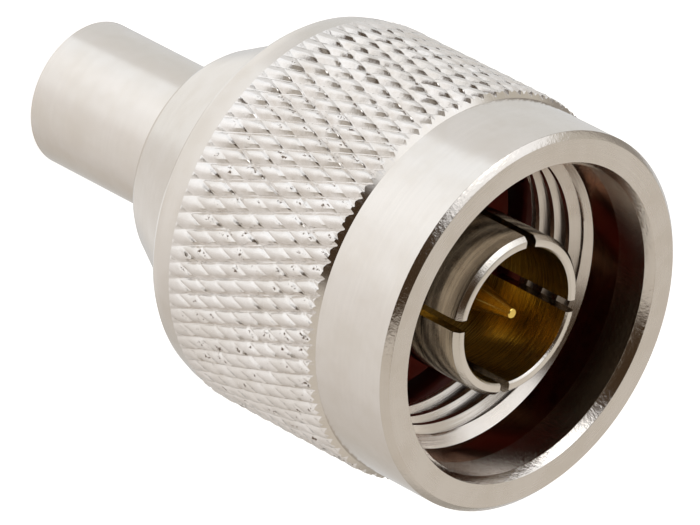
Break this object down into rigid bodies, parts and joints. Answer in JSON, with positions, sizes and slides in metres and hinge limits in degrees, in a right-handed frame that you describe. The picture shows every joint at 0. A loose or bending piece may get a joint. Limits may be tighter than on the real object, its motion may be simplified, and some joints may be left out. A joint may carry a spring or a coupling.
{
  "type": "n-type coaxial crimp plug",
  "caption": "Straight coaxial cable plug with a free-turning knurled coupling nut, slotted outer contact, tapered centre pin, sealing gasket and a crimp ferrule for the cable.",
  "frame": {"origin": "centre of the crimp ferrule's open end, on which the plug stands", "axes": "+Z along the plug's axis towards the mating end; X and Y run through the slots of the outer contact"},
  "size_m": [0.0206, 0.0206, 0.0326],
  "materials": {
    "nickel_plate": "bright nickel plate on turned brass",
    "ferrule_plate": "bright nickel plate on drawn copper alloy tube",
    "contact_plate": "polished white-bronze plate",
    "spring_bronze": "spring bronze",
    "gold_plate": "bright gold plate",
    "red_silicone": "matt silicone rubber",
    "white_insulator": "turned PTFE"
  },
  "bodies": {
    "plug": {"plug_body": "nickel_plate", "outer_contact": "contact_plate", "coupling_gasket": "red_silicone", "front_insulator": "white_insulator", "rear_insulator": "white_insulator", "centre_contact": "gold_plate", "crimp_ferrule": "ferrule_plate"},
    "ring": {"retaining_ring": "spring_bronze"},
    "nut": {"coupling_nut": "nickel_plate"}
  },
  "joints": [
    {"name": "nut_float", "type": "slide", "parent": "plug", "child": "ring", "axis": [0, 0, 1], "range_m": [0, 0.0003]},
    {"name": "nut_spin", "type": "hinge", "parent": "ring", "child": "nut", "pos_m": [0, 0, 0.019], "axis": [0, 0, 1], "continuous": true}
  ]
}
